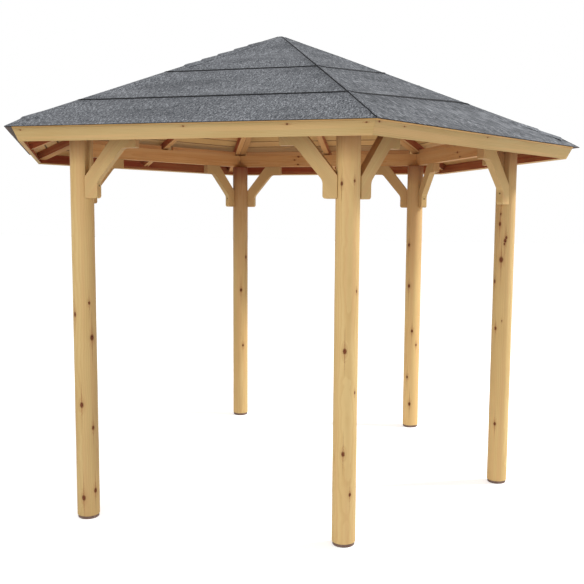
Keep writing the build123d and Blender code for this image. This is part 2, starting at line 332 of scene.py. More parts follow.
def new_piece(name, points, faces, smooth=False):
    """Makes a mesh piece from points in the shared frame."""
    mesh = bpy.data.meshes.new(name)
    mesh.from_pydata([tuple(point) for point in points], [], faces)
    mesh.validate()
    if smooth:
        mesh.shade_smooth()
    piece = bpy.data.objects.new(name, mesh)
    bpy.context.scene.collection.objects.link(piece)
    return piece


def rebated_radius(bearing):
    """Radius of the post's head at a bearing: the round, less the corners cut for the two braces."""
    radius = POST_RADIUS
    for hand in (-1, 1):
        out = cos(bearing - hand * SIDE_TURN / 2)
        along = cos(bearing - hand * (SIDE_TURN / 2 + pi / 2))
        if out > 0.01 and along > 0.01:
            radius = min(radius, max(REBATE_ALONG / along, REBATE_OUT / out))
    return radius


def post_bearings(splits, height):
    """Bearings of one ring of the post, and how deep each lies, with the drying splits in place."""
    rebate_turn = SIDE_TURN / 2 + pi / 2
    cut_start = rebate_turn - acos(REBATE_ALONG / POST_RADIUS)
    cut_corner = rebate_turn - atan2(REBATE_OUT, REBATE_ALONG)
    cut_end = rebate_turn - asin(REBATE_OUT / POST_RADIUS)
    bearings = [radians(step) for step in range(-180, 180, RING_DEGREES)]
    bearings += [hand * turn for hand in (-1, 1) for turn in (cut_start, cut_corner, cut_end)]
    ring = [(bearing, 0.0) for bearing in bearings]
    for middle, lean, spans in splits:
        first = radians(middle - SPLIT_HALF_DEGREES + min(0, lean))
        last = radians(middle + SPLIT_HALF_DEGREES + max(0, lean))
        ring = [(bearing, depth) for bearing, depth in ring
                if not first - SPLIT_CLEAR < bearing < last + SPLIT_CLEAR]
        low = min(span[0] for span in spans)
        high = max(span[1] for span in spans)
        at = radians(middle + lean * min(max((height - low) / (high - low), 0), 1))
        half = SPLIT_CLOSED
        for bottom, top, width in spans:
            if bottom < height < top:
                half = max(half, width / 2 * sin(pi * (height - bottom) / (top - bottom)) ** 0.5)
        deep = half * SPLIT_DEPTH if half > SPLIT_CLOSED else 0.0
        turn = half / POST_RADIUS
        ring += [(first, 0), ((first + at - turn) / 2, 0), (at - turn, 0), (at, deep)]
        ring += [(at + turn, 0), ((last + at + turn) / 2, 0), (last, 0)]
    return sorted(ring)


def make_post(index, name):
    """One post, from its foot on the pad to its head under the ring beam."""
    turn = SIDE_TURN * index
    low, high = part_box(f"post_{name}")
    levels = [(low.z, FOOT_CHAMFER, False), (low.z + FOOT_CHAMFER, 0, False)]
    height = low.z + RING_GAP
    while height < POST_REBATE_HEIGHT - RING_GAP / 2:
        levels.append((height, 0, False))
        height += RING_GAP
    levels += [(POST_REBATE_HEIGHT, 0, False), (POST_REBATE_HEIGHT, 0, True)]
    height = POST_REBATE_HEIGHT + RING_GAP
    while height < high.z - HEAD_CHAMFER - RING_GAP / 2:
        levels.append((height, 0, True))
        height += RING_GAP
    levels += [(high.z - HEAD_CHAMFER, 0, True), (high.z, HEAD_CHAMFER, True)]
    points = []
    grain = []
    for height, inset, rebated in levels:
        for bearing, deep in post_bearings(POST_SPLITS[name], height):
            full = rebated_radius(bearing) if rebated else POST_RADIUS
            turned = OUT_OF_ROUND * sin(3 * bearing + 4 * height + index)
            turned += TURNING_WAVE * sin(17 * height + index)
            radius = min(full - deep, POST_RADIUS - inset - abs(turned))
            outward = radius * cos(bearing)
            sideways = radius * sin(bearing)
            points.append((
                (POST_CIRCLE + outward) * cos(turn) - sideways * sin(turn),
                (POST_CIRCLE + outward) * sin(turn) + sideways * cos(turn),
                height,
            ))
            grain.append((height + POST_STEP * index, outward + POST_PITH[0], sideways + POST_PITH[1]))
    count = len(points) // len(levels)
    faces = [tuple(range(count))[::-1], tuple(range(len(points) - count, len(points)))]
    for start in range(0, len(points) - count, count):
        for corner in range(count):
            after = (corner + 1) % count
            faces.append((start + corner, start + after, start + count + after, start + count + corner))
    piece = new_piece(f"turned_post_{name}", points, faces, smooth=True)
    piece.data.set_sharp_from_angle(angle=POST_SHARP_ANGLE)
    # Painted shade: the tone runs from foot to head and drops at the head, and the upper half and head
    # are painted red
    shares = [(point[2] - low.z) / (high.z - low.z) for point in points]
    foot_tone, head_tone = POST_TONES[index]
    heads = [max(0, share - POST_HEAD_SHARE) / (1 - POST_HEAD_SHARE) for share in shares]
    carry_grain(piece, grain, [foot_tone + (head_tone - foot_tone) * share - POST_HEAD_SHADE * head
                               for share, head in zip(shares, heads)])
    carry(piece, "heart", [POST_UPPER_SHADE_REDS[index] * max(0, 2 * share - 1) + POST_HEAD_SHADE_RED * head
                           for share, head in zip(shares, heads)])
    knots = []
    for height, bearing, size in POST_KNOTS[name]:
        outward = POST_RADIUS * cos(radians(bearing)) + POST_PITH[0]
        sideways = POST_RADIUS * sin(radians(bearing)) + POST_PITH[1]
        knots.append(((height + POST_STEP * index, outward, sideways), size))
    piece.data.materials.append(timber_finish(f"post_wood_{name}", knots=knots))
    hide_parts(f"post_{name}")
    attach(piece, "root")


for index, name in enumerate(POST_NAMES):
    make_post(index, name)

# Ring beam. Six planed 45 x 95 mm lengths, mitred over the posts and standing a little outside
# their centre lines. Each lies on two posts and four brace tabs, screwed down from above.
SIDE_NAMES = ["back_right", "back", "back_left", "front_left", "front", "front_right"]
ARRIS = 0.0016
SHARP_ANGLE = radians(25)
BEAM_PITH = (0.030, -0.035)
BEAM_STEP = 2.9
BEAM_DRAW = 40
BEAM_TONES = 0.6
# Painted shade: inner and lower faces are painted redder, and beams, strips and rafters take darker,
# redder copies of the wood colours
BEAM_INNER_SHADE_RED = 0.19
EARLY_SHADED = (0.650, 0.382, 0.152)
LATE_SHADED = (0.475, 0.236, 0.076)

# A face looks inward, or down, when its normal leans that way by more than this
LOOKS_AWAY = -0.5

# Knots on the inner faces: number of the side, along it, height, radius
BEAM_KNOTS = [(1, 0.237, 2.234, 0.008), (1, 0.271, 2.207, 0.007), (1, 0.241, 2.170, 0.007),
              (0, -0.007, 2.201, 0.008), (0, -0.051, 2.166, 0.007)]


def timber_from(node, name, grain_of, tone_of, material, arris=ARRIS, shade_red_of=None,
                laid_at=None):
    """A copy of a node's solids with eased arrises and a grain, as a piece that stands for the node."""
    shape = bmesh.new()
    shape.from_mesh(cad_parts[node].data)
    bmesh.ops.remove_doubles(shape, verts=shape.verts, dist=2e-5)
    bmesh.ops.dissolve_limit(shape, angle_limit=radians(0.5), verts=shape.verts, edges=shape.edges)
    if arris:
        sharp = [edge for edge in shape.edges
                 if edge.is_manifold and edge.calc_face_angle() > SHARP_ANGLE]
        bmesh.ops.bevel(shape, geom=sharp, offset=arris, segments=2, profile=0.5, affect="EDGES",
                        clamp_overlap=True)
    mesh = bpy.data.meshes.new(name)
    shape.to_mesh(mesh)
    shape.free()
    piece = bpy.data.objects.new(name, mesh)
    bpy.context.scene.collection.objects.link(piece)
    if arris:
        mesh.shade_smooth()
        even = piece.modifiers.new("even_faces", "WEIGHTED_NORMAL")
        even.weight = 90
    places = [vertex.co for vertex in mesh.vertices]
    carry_grain(piece, [grain_of(place) for place in places], [tone_of(place) for place in places])
    # The heart attribute here carries a painted red shade for each face
    if shade_red_of:
        reds = [shade_red_of(face.center, face.normal) for face in mesh.polygons for _ in face.loop_indices]
        carry(piece, "heart", reds, "CORNER")
    if laid_at:
        for vertex in mesh.vertices:
            vertex.co = laid_at(vertex.co)
    mesh.materials.append(material)
    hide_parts(node)
    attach(piece, "root")


def on_side(place, side=None):
    """A point as seen from its own side of the ring: number of the side, outward and along."""
    if side is None:
        side = int((atan2(place.y, place.x) % (2 * pi)) // SIDE_TURN)
    turn = (side + 0.5) * SIDE_TURN
    outward = place.x * cos(turn) + place.y * sin(turn)
    along = place.y * cos(turn) - place.x * sin(turn)
    return side, outward, along


def looks_out(place, normal):
    """How far a face looks outward on its own side of the ring, from 1 out to -1 in."""
    turn = (on_side(place)[0] + 0.5) * SIDE_TURN
    return normal.x * cos(turn) + normal.y * sin(turn)


beam_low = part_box("ring_beam_back")[0]
BEAM_INNER = beam_low.y


def beam_frame(side, outward, along, height):
    """A place in the beam's own timber, each length cut further along it than the one before."""
    across = outward - BEAM_INNER + BEAM_PITH[0]
    return (along + BEAM_STEP * side, across, height - beam_low.z + BEAM_PITH[1])


def beam_grain(side):
    def grain(place):
        _, outward, along = on_side(place, side)
        return beam_frame(side, outward, along, place.z)

    return grain


# Painted shade: faces that look inward or down are painted red
def beam_shade_red(place, normal):
    inner = looks_out(place, normal) < LOOKS_AWAY or normal.z < LOOKS_AWAY
    return BEAM_INNER_SHADE_RED if inner else 0.0


beam_spots = [(beam_frame(side, BEAM_INNER, along, height), size)
              for side, along, height, size in BEAM_KNOTS]
beam_wood = timber_finish("beam_wood", EARLY_SHADED, LATE_SHADED, beam_spots, wild_knots=0.30,
                          ring=0.0050)
for side, name in enumerate(SIDE_NAMES):
    tone = Random(BEAM_DRAW + side).uniform(-BEAM_TONES, BEAM_TONES)
    timber_from(f"ring_beam_{name}", f"beam_{name}", beam_grain(side),
                lambda place: tone, beam_wood, shade_red_of=beam_shade_red)

# Knee braces. A pair to a side, each cut from one 45 mm board with its grain on the slant: the foot
# is screwed into the post's rebate and the long tab is screwed flat under the beam.
BRACE_SLANT = radians(48.5)
BRACE_SIDE_STEP = 3.3
BRACE_HAND_STEP = 1.6
BRACE_PITH = (0.05, 0.02)
POST_ALONG = POST_CIRCLE * sin(SIDE_TURN / 2)

# Painted shade: how dark the two braces of each side are painted where they meet the beam, and how red
# each face is painted, most towards the head, on the inner faces and on the cut faces that look up
BRACE_FOOT_TONE = -0.3
BRACE_HEAD_SHADE_TONES = [(-0.9, -0.8), (-1.1, -1.1), (-1.6, -0.8), (-0.6, -0.8), (-1.4, -1.5),
                    (-2.4, -0.9)]
BRACE_SHADE_FROM = 1.92
BRACE_RED = 0.03
BRACE_HEAD_SHADE_RED = 0.36
BRACE_CUT_SHADE_RED = 0.30
BRACE_CUT_LOOKS_UP = 0.2
BRACE_INNER_SHADE_RED = 0.13
brace_wood = timber_finish("brace_wood", wild_knots=0.22, ring=0.0050, contrast=0.8)


def brace_grain(side):
    def grain(place):
        _, outward, along = on_side(place, side)
        hand = 1 if along > 0 else -1
        run = POST_ALONG - abs(along)
        rise = place.z - POST_REBATE_HEIGHT
        slant = run * cos(BRACE_SLANT) + rise * sin(BRACE_SLANT)
        across = rise * cos(BRACE_SLANT) - run * sin(BRACE_SLANT)
        return (slant + BRACE_SIDE_STEP * side + BRACE_HAND_STEP * hand,
                across + BRACE_PITH[0] * hand, outward - BEAM_INNER + BRACE_PITH[1])

    return grain


def brace_rise(place):
    """How far up a brace a place lies, from 0 at the foot to 1 at the beam."""
    return max(0, (place.z - BRACE_SHADE_FROM) / (beam_low.z - BRACE_SHADE_FROM))


# Painted shade: each brace darkens from its foot towards the beam
def brace_shade_tone(side):
    def tone(place):
        head_tone = BRACE_HEAD_SHADE_TONES[side][int(on_side(place, side)[2] > 0)]
        return BRACE_FOOT_TONE + (head_tone - BRACE_FOOT_TONE) * brace_rise(place)

    return tone


# Painted shade: redder towards the head, on inner faces and on cut faces that look up, over a small
# even red
def brace_red_and_shade(place, normal):
    outward = looks_out(place, normal)
    face_red = BRACE_INNER_SHADE_RED if outward < LOOKS_AWAY else 0
    if abs(outward) < -LOOKS_AWAY and normal.z > BRACE_CUT_LOOKS_UP:
        face_red = BRACE_CUT_SHADE_RED
    return BRACE_RED + BRACE_HEAD_SHADE_RED * brace_rise(place) + face_red


for side, name in enumerate(SIDE_NAMES):
    timber_from(f"braces_{name}", f"knee_braces_{name}", brace_grain(side),
                brace_shade_tone(side), brace_wood, shade_red_of=brace_red_and_shade)

# Screws in the brace feet. One blackened countersunk screw goes through the narrow edge of each
# foot into the post. It shows as a dark round head in the middle of the edge, with a recess.
FOOT_EDGE = 0.121
FOOT_MIDDLE = 0.0225
SCREW_HEIGHT = 1.882
SCREW_STEPS = 16
SCREW_STEEL = (0.014, 0.009, 0.007)
SCREW_RUST = (0.045, 0.016, 0.008)
SCREW_SHINE = 0.1
SCREW_PITTING = 0.0002

# The screw from its buried tip to the bottom of its recess: radius, then how far it stands out
SCREW_RINGS = [(0.0010, -0.006), (0.0055, 0.0), (0.0050, 0.0008), (0.0020, 0.0009),
               (0.0018, -0.0012)]


def screw_finish():
    finish = Finish("blackened_screw")
    finish.shader.inputs["Specular IOR Level"].default_value = SCREW_SHINE
    rust = finish.ramp(finish.noise(finish.place(), 380, 3), 0.45, 0.65)
    colour = finish.mix(rust, SCREW_STEEL, SCREW_RUST)
    pits = finish.bump(rust, SCREW_PITTING)
    return finish.done(colour, finish.ramp(rust, 0, 1, 0.45, 0.85), pits)


def make_screws():
    """All twelve heads as one piece, each a closed shape let into the timber."""
    points = []
    faces = []
    for side in range(SIDES):
        turn = (side + 0.5) * SIDE_TURN
        for hand in (-1, 1):
            start = len(points)
            edge = hand * (POST_ALONG - FOOT_EDGE)
            for radius, proud in SCREW_RINGS:
                for step in range(SCREW_STEPS):
                    bearing = 2 * pi * step / SCREW_STEPS
                    outward = BEAM_INNER + FOOT_MIDDLE - hand * radius * cos(bearing)
                    along = edge - hand * proud
                    height = SCREW_HEIGHT + radius * sin(bearing)
                    points.append((outward * cos(turn) - along * sin(turn),
                                   outward * sin(turn) + along * cos(turn), height))
            last = len(points) - SCREW_STEPS
            for first in range(start, last, SCREW_STEPS):
                for step in range(SCREW_STEPS):
                    after = (step + 1) % SCREW_STEPS
                    faces.append((first + step, first + SCREW_STEPS + step,
                                  first + SCREW_STEPS + after, first + after))
            faces.append(tuple(start + step for step in range(SCREW_STEPS)))
            faces.append(tuple(last + step for step in range(SCREW_STEPS))[::-1])
    piece = new_piece("brace_screws", points, faces)
    piece.data.materials.append(screw_finish())
    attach(piece, "root")


make_screws()

# Closing strips. Twelve small softwood laths lie on the ring beam, nailed down between the rafters.
# They are cut a little short, and fill most of the gap between the beam and the roof boards.
STRIP_STEP = 4.1
STRIP_PITH = (0.03, 0.02)
STRIP_DRAW = 80
STRIP_TONES = (-0.8, 0.2)
# Painted shade: the strips lie in shade on the beam and are painted redder all over
STRIP_SHADE_RED = 0.35
strip_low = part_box("eaves_strips")[0]
strip_wood = timber_finish("strip_wood", EARLY_SHADED, LATE_SHADED, wild_knots=0.4, ring=0.0040)


def strip_grain(place):
    side, outward, along = on_side(place)
    across = outward - BEAM_INNER + STRIP_PITH[0]
    return (along + STRIP_STEP * side, across, place.z - strip_low.z + STRIP_PITH[1])


def strip_tone(place):
    side, _, along = on_side(place)
    return Random(STRIP_DRAW + 2 * side + int(along > 0)).uniform(*STRIP_TONES)


timber_from("eaves_strips", "closing_strips", strip_grain, strip_tone, strip_wood,
            shade_red_of=lambda place, normal: STRIP_SHADE_RED)

# Rafters. Every slope of the roof is a panel with a board down each hip and one down its middle,
# planed softwood 47 mm deep, notched over the ring beam and nailed through the roof boards. They
# are painted redder than the rest as shade under the roof, the sides much more than the undersides.
deck_low, deck_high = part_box("roof_deck_back")
ROOF_SLOPE = radians(24.407)
SLOPE_COS = cos(ROOF_SLOPE)
SLOPE_SIN = sin(ROOF_SLOPE)
MID_STEP = 2.3
MID_PITH = (0.02, 0.04)
MID_DRAW = 100
MID_TONES = (-0.6, 0.4)
HIP_SIDE_STEP = 3.1
HIP_HAND_STEP = 1.4
HIP_PITH = (0.05, 0.03)
HIP_DRAW = 120
HIP_TONES = (-0.8, 0.5)
# Painted shade: how red the side faces and the undersides are painted
RAFTER_SIDE_SHADE_RED = 0.85
RAFTER_UNDER_SHADE_RED = 0.18
RAFTER_LOOKS_DOWN = -0.6
hip_slope = atan2(SLOPE_SIN * cos(SIDE_TURN / 2), SLOPE_COS)
rafter_wood = timber_finish("rafter_wood", EARLY_SHADED, LATE_SHADED, wild_knots=0.35, ring=0.0045)


def mid_grain(place):
    side, outward, along = on_side(place)
    fall = place.z - deck_high.z
    down = outward * SLOPE_COS - fall * SLOPE_SIN
    under = outward * SLOPE_SIN + fall * SLOPE_COS
    return (down + MID_STEP * side, along + MID_PITH[0], under + MID_PITH[1])


def mid_tone(place):
    return Random(MID_DRAW + on_side(place)[0]).uniform(*MID_TONES)


def hip_grain(place):
    side, outward, along = on_side(place)
    hand = 1 if along > 0 else -1
    run = outward * cos(SIDE_TURN / 2) + abs(along) * sin(SIDE_TURN / 2)
    across = abs(along) * cos(SIDE_TURN / 2) - outward * sin(SIDE_TURN / 2)
    fall = place.z - deck_high.z
    down = run * cos(hip_slope) - fall * sin(hip_slope)
    under = run * sin(hip_slope) + fall * cos(hip_slope)
    return (down + HIP_SIDE_STEP * side + HIP_HAND_STEP * hand,
            across + HIP_PITH[0], under + HIP_PITH[1] * hand)


def hip_tone(place):
    side, _, along = on_side(place)
    return Random(HIP_DRAW + 2 * side + int(along > 0)).uniform(*HIP_TONES)


def rafter_shade_red(place, normal):
    return RAFTER_UNDER_SHADE_RED if normal.z < RAFTER_LOOKS_DOWN else RAFTER_SIDE_SHADE_RED


timber_from("mid_rafters", "middle_rafters", mid_grain, mid_tone, rafter_wood,
            shade_red_of=rafter_shade_red)
for name in POST_NAMES:
    timber_from(f"hip_rafter_{name}", f"hip_boards_{name}", hip_grain, hip_tone,
                rafter_wood, shade_red_of=rafter_shade_red)

# Fascia. Six planed 20 x 74 mm boards, nailed to the ends of the rafters square to the slope and
# mitred at the corners. Clean long-grained timber outside, with the inner faces painted dark red as
# shade.
EARLY_FASCIA = (0.545, 0.395, 0.180)
LATE_FASCIA = (0.445, 0.280, 0.100)
FASCIA_INNER_SHADE_RED = 0.95
FASCIA_TOP = (1.6407, 2.1647)
FASCIA_STEP = 4.7
FASCIA_PITH = (0.03, 0.02)
FASCIA_DRAW = 140
FASCIA_TONES = 0.3
fascia_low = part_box("fascia_back")[0]

# Small knots on the outer faces: number of the side, along it, down from the upper edge, radius
FASCIA_KNOTS = [(4, -0.903, 0.013, 0.004), (4, -0.001, 0.011, 0.004), (4, 0.525, 0.012, 0.005),
                (4, 0.905, 0.011, 0.004), (5, -0.916, 0.006, 0.005), (5, -0.727, 0.013, 0.004),
                (5, -0.007, 0.008, 0.004)]


def fascia_frame(side, outward, along, height):
    """A place in the fascia's own timber."""
    across = outward - fascia_low.y + FASCIA_PITH[0]
    return (along + FASCIA_STEP * side, across, height - fascia_low.z + FASCIA_PITH[1])


def fascia_grain(side):
    def grain(place):
        _, outward, along = on_side(place, side)
        return fascia_frame(side, outward, along, place.z)

    return grain


# Painted shade: faces that look inward are painted dark red
def fascia_shade_red(place, normal):
    return FASCIA_INNER_SHADE_RED if looks_out(place, normal) < LOOKS_AWAY else 0.0


fascia_spots = []
for side, along, down, size in FASCIA_KNOTS:
    outward = FASCIA_TOP[0] - down * SLOPE_SIN
    height = FASCIA_TOP[1] - down * SLOPE_COS
    fascia_spots.append((fascia_frame(side, outward, along, height), size))
fascia_wood = timber_finish("fascia_wood", EARLY_FASCIA, LATE_FASCIA, fascia_spots, wild_knots=0.10,
                            ring=0.0060, contrast=1.4)
for side, name in enumerate(SIDE_NAMES):
    tone = Random(FASCIA_DRAW + side).uniform(-FASCIA_TONES, FASCIA_TONES)
    timber_from(f"fascia_{name}", f"fascia_board_{name}", fascia_grain(side),
                lambda place: tone, fascia_wood, shade_red_of=fascia_shade_red)

# Roof boards. Tongued boards 16 mm thick, nailed across the rafters with a small groove at each
# joint below. They run parallel to the eave and are sawn to the mitre at both hips.
BOARD_COVER = 0.089
FIRST_JOINT = 0.007
SHORTEST_BOARD = 0.030
GROOVE = 0.0045
# Painted shade in the grooves: full at the groove's floor and this share on its chamfers
GROOVE_PAINTED_SHADE = 0.35
JOINT_GAP = 0.0008
BOARD_THICKNESS = 0.016
BOARD_DRAW = 200
BOARD_TONES = 1.1
BOARD_REDS = (0.0, 0.18)
EARLY_CEILING = (0.690, 0.440, 0.170)
LATE_CEILING = (0.480, 0.245, 0.078)

# Where a board may be sawn from its timber: along it, to one side of the pith, and above it
BOARD_CUTS = [(0, 9), (-0.05, 0.05), (0.01, 0.06)]
ceiling_wood = timber_finish("ceiling_wood", EARLY_CEILING, LATE_CEILING, wild_knots=0.40,
                             ring=0.0040)
eave_run = deck_high.y / SLOPE_COS - BOARD_THICKNESS * SLOPE_SIN / SLOPE_COS
roof_peak = deck_low.z + eave_run * SLOPE_SIN


def on_roof(side, down, along, up):
    """A point of the roof: down the underside of the boards, along the side, square up from them."""
    turn = (side + 0.5) * SIDE_TURN
    outward = down * SLOPE_COS + up * SLOPE_SIN
    return (
        outward * cos(turn) - along * sin(turn),
        outward * sin(turn) + along * cos(turn),
        roof_peak - down * SLOPE_SIN + up * SLOPE_COS,
    )


def hip_along(down, up):
    """How far along a side its hip lies."""
    return (down * SLOPE_COS + up * SLOPE_SIN) * tan(SIDE_TURN / 2)


def closed_run(faces, base, count, sections=2):
    """Faces of a closed run through sections with the same number of points, and its two ends."""
    last = base + (sections - 1) * count
    faces.append(tuple(range(base, base + count)))
    faces.append(tuple(range(last, last + count))[::-1])
    for start in range(base, last, count):
        for corner in range(count):
            after = (corner + 1) % count
            faces.append((start + after, start + corner, start + count + corner, start + count + after))


def make_roof_boards(side, name):
    """The boards of one slope as one piece, each board a solid of its own."""
    draw = Random(BOARD_DRAW + side)
    points = []
    faces = []
    grain = []
    tones = []
    reds = []
    groove_shades = []
    start = FIRST_JOINT
    while start < eave_run - SHORTEST_BOARD:
        last = start + BOARD_COVER > eave_run - SHORTEST_BOARD
        end = eave_run if last else start + BOARD_COVER
        section = [
            (start + JOINT_GAP, GROOVE, 1),
            (start + GROOVE, 0, GROOVE_PAINTED_SHADE),
            (start + 2 * GROOVE, 0, 0),
        ]
        if last:
            section += [(end, 0, 0), (end, BOARD_THICKNESS, 0)]
        else:
            section += [
                (end - 2 * GROOVE, 0, 0),
                (end - GROOVE, 0, GROOVE_PAINTED_SHADE),
                (end - JOINT_GAP, GROOVE, 1),
                (end - JOINT_GAP, BOARD_THICKNESS, 0),
            ]
        section.append((start + JOINT_GAP, BOARD_THICKNESS, 0))
        tone = draw.uniform(-BOARD_TONES, BOARD_TONES)
        red = draw.uniform(*BOARD_REDS)
        shift = [draw.uniform(low, high) for low, high in BOARD_CUTS]
        base = len(points)
        for hand in (-1, 1):
            for down, up, dark in section:
                along = hand * hip_along(down, up)
                points.append(on_roof(side, down, along, up))
                grain.append((along + shift[0], down - start + shift[1], up + shift[2]))
                tones.append(tone)
                reds.append(red)
                groove_shades.append(dark)
        closed_run(faces, base, len(section))
        start = end
    piece = new_piece(f"roof_boards_{name}", points, faces)
    carry_grain(piece, grain, tones)
    carry(piece, "heart", reds)
    carry(piece, "gap", groove_shades)
    piece.data.materials.append(ceiling_wood)
    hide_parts(f"roof_deck_{name}")
    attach(piece, "root")


for side, name in enumerate(SIDE_NAMES):
    make_roof_boards(side, name)

# Felt. Slate-grey mineral felt, crushed slate pressed into bitumen over a sanded back. It is laid in
# three courses to a slope, each lapped over the one below and folded over the hips, where the laps
# sag a little. On the front right slope the two upper courses were laid askew.
SLATE_DARK = (0.042, 0.045, 0.052)
SLATE_MID = (0.155, 0.163, 0.177)
SLATE_PALE = (0.470, 0.485, 0.515)
SAND_BACK = (0.200, 0.165, 0.160)
BITUMEN = (0.012, 0.012, 0.013)
FELT_THICKNESS = 0.003
FELT_TOP = BOARD_THICKNESS + FELT_THICKNESS
COURSE_EDGES = (0.776, 1.273)
FLAT_FACE = 0.60
FELT_STEP = (5.3, 0.4)
FELT_TONES = [-0.9, -0.4, 0.0, 0.0, 0.0, -1.1]
FELT_TONE_DEPTH = 0.27
FELT_SHINE = 0.1
LAP_SHADOW_BAND = 0.13
FELT_WAVES = 0.010
CHIP_DEPTH = 0.0012

# How many clumps of slate lie in a metre, along and down the slope, and how pale they are
FINE_CLUMPS = (165, 62, 62)
FINE_PALE = 0.75
COARSE_CLUMPS = (112, 34, 34)
COARSE_PALE = 0.95

# The laps slip down by this much of the fold's height, from just below the apex to near the eave
SAG_START = 0.078
SAG_END = 1.60
FOLD_SAG = 3.4

# The askew slope: distance down its right hip, then how far up the slope the felt was laid there
ASKEW_SIDE = 5
ASKEW_SLIPS = [(0.0, 0.0), (0.842, 0.214), (1.388, 0.277), (1.825, 0.0)]
course_downs = [(edge - (FELT_TOP + FELT_THICKNESS) * SLOPE_SIN) / SLOPE_COS
                for edge in COURSE_EDGES]


def felt_finish(name, clump_scale, clump_pale):
    """Clumps and chips of slate, long waves and bands painted darker and paler as shade and light, a
    painted shadow below each lap, a sanded back.
    """
    finish = Finish(name)
    finish.shader.inputs["Specular IOR Level"].default_value = FELT_SHINE
    at = finish.attribute("grain", 1)
    clumps = finish.noise(at, clump_scale, 1, 0.6)
    chips = finish.noise(at, (330, 130, 130), 2, 0.7)
    waves = finish.noise(at, (2.2, 6.5, 1))
    bands = finish.noise(at, (0.9, 9.0, 1))
    colour = finish.mix(finish.ramp(clumps, 0.48, 0.28), SLATE_MID, SLATE_DARK)
    colour = finish.mix(finish.ramp(clumps, 0.52, 0.74, 0, clump_pale), colour, SLATE_PALE)
    colour = finish.mix(finish.ramp(chips, 0.55, 0.75, 0, 0.40), colour, SLATE_PALE)
    colour = finish.mix(finish.ramp(chips, 0.42, 0.30, 0, 0.45), colour, SLATE_DARK)
    # Painted shade and light: the felt's long waves darken it and its bands pale it, as its undulations
    # would under light
    colour = finish.mix(finish.ramp(waves, 0.52, 0.34, 0, 0.30), colour, SLATE_DARK)
    colour = finish.mix(finish.ramp(bands, 0.55, 0.70, 0, 0.14), colour, SLATE_PALE)
    down = finish.part(at, 1)
    # Painted shadow: a patchy dark band just below each lap, fading down the course
    patchy = finish.ramp(waves, 0.35, 0.6, 0.05, 0.30)
    for edge in course_downs:
        fading = finish.ramp(down, edge, edge + LAP_SHADOW_BAND, 1, 0)
        below = finish.maths("MULTIPLY", finish.maths("GREATER_THAN", down, edge), fading)
        colour = finish.mix(finish.maths("MULTIPLY", below, patchy), colour, SLATE_DARK)
    upward = finish.part(finish.node("ShaderNodeNewGeometry", output=1), 2)
    colour = finish.mix(finish.maths("GREATER_THAN", upward, FLAT_FACE), BITUMEN, colour)
    colour = finish.toned(colour, FELT_TONE_DEPTH)
    sand = finish.mix(finish.ramp(chips, 0.40, 0.65), SAND_BACK, SLATE_MID)
    colour = finish.mix(finish.maths("LESS_THAN", upward, -FLAT_FACE), colour, sand)
    rough = finish.ramp(chips, 0.3, 0.7, 0.80, 0.95)
    waved = finish.bump(waves, FELT_WAVES)
    grit = finish.maths("ADD", clumps, chips)
    return finish.done(colour, rough, finish.bump(grit, CHIP_DEPTH, waved))


def felt_frame(side, place):
    """A place on a slope: along the eave, down the slope, and square up from it."""
    _, outward, along = on_side(place, side)
    fall = place.z - roof_peak
    return along, outward * SLOPE_COS - fall * SLOPE_SIN, outward * SLOPE_SIN + fall * SLOPE_COS


def felt_grain(side):
    def grain(place):
        along, down, up = felt_frame(side, place)
        return (along + FELT_STEP[0] * side, down, up + FELT_STEP[1] * side)

    return grain


def between(table, distance):
    """The value at a distance, from a table of distances and values."""
    for (near, low), (far, high) in zip(table, table[1:]):
        if distance <= far:
            return low + (high - low) * (distance - near) / (far - near)
    return table[-1][1]


def felt_laid(side, down, along, up):
    """A spot of the felt as it was laid: the laps sag over the folds, and one slope's run askew."""
    if down < SAG_START:
        return on_roof(side, down, along, up)
    share = along / hip_along(down, up)
    if down < SAG_END:
        down += FOLD_SAG * max(0, up - FELT_TOP - FELT_THICKNESS)
    if side == ASKEW_SIDE:
        down -= (share + 1) / 2 * between(ASKEW_SLIPS, down)
    return on_roof(side, down, share * hip_along(down, up), up)


def felt_place(side):
    def laid_at(place):
        along, down, up = felt_frame(side, place)
        return Vector(felt_laid(side, down, along, up))

    return laid_at


felt = felt_finish("mineral_felt", FINE_CLUMPS, FINE_PALE)
coarse_felt = felt_finish("coarse_mineral_felt", COARSE_CLUMPS, COARSE_PALE)
for side, name in enumerate(SIDE_NAMES):
    tone = FELT_TONES[side]
    timber_from(f"roof_felt_{name}", f"felt_{name}", felt_grain(side), lambda place: tone,
                coarse_felt if side == ASKEW_SIDE else felt, arris=0, laid_at=felt_place(side))

# Hip tongues. Where a sheet is turned over a hip it is cut into short tongues, each lapped over the
# one below, so that the hip's line is lightly stepped. The hip at the front right was left whole.
TONGUE_WIDTH = 0.045
TONGUE_LENGTH = 0.115
TONGUE_RISE = 0.0052
TONGUE_EDGE = 0.0022
TONGUE_END = 0.014
TONGUE_BEND = 0.8 * TONGUE_WIDTH
TONGUE_FLUSH = 0.0002
TONGUE_SUNK = -0.0012
TONGUE_STEP = 2.1

# Where the lower end of each tongue lies, out from the centre
HIP_STEPS = {
    "right": [1.675, 1.815],
    "back_right": [0.300, 0.427, 0.554, 0.681, 0.808],
    "back_left": [0.300, 0.427, 0.554, 0.681, 0.808],
    "left": [0.300, 0.427, 0.554, 0.681, 0.808],
    "front_left": [0.280, 0.395, 0.527, 0.654, 0.783, 1.830],
    "front_right": [],
}

